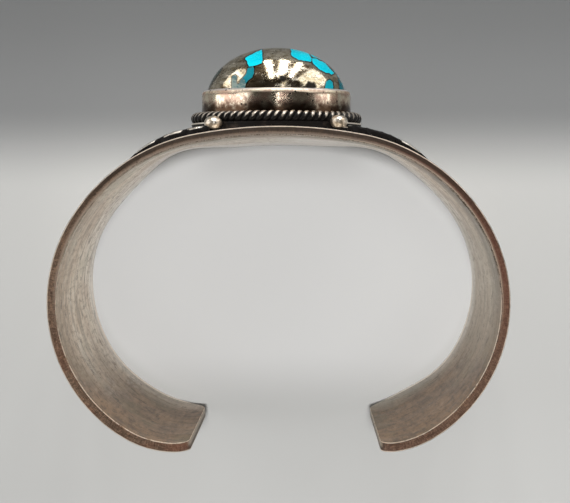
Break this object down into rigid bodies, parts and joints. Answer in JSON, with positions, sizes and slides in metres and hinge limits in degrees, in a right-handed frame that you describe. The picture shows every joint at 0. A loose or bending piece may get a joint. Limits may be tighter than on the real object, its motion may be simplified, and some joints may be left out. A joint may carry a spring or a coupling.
{
  "type": "turquoise cuff bracelet",
  "caption": "Wide open silver cuff lying on its side, with a high domed oval turquoise in a plain bezel ringed by twisted wire, between scalloped side plates.",
  "frame": {"origin": "on the surface that the cuff lies on, under the middle of its box", "axes": "+Z along the wrist, up from the rim that the cuff lies on; -Y towards the stone; +Y towards the opening; +X across the wrist"},
  "size_m": [0.0626, 0.0566, 0.038],
  "materials": {
    "silver": "worn satin silver with darkened recesses",
    "setting_silver": "worn silver, blackened in the grooves",
    "turquoise": "polished turquoise with golden pyrite"
  },
  "bodies": {
    "root": {"cuff_band": "silver", "setting": "setting_silver", "stone": "turquoise"}
  },
  "joints": []
}
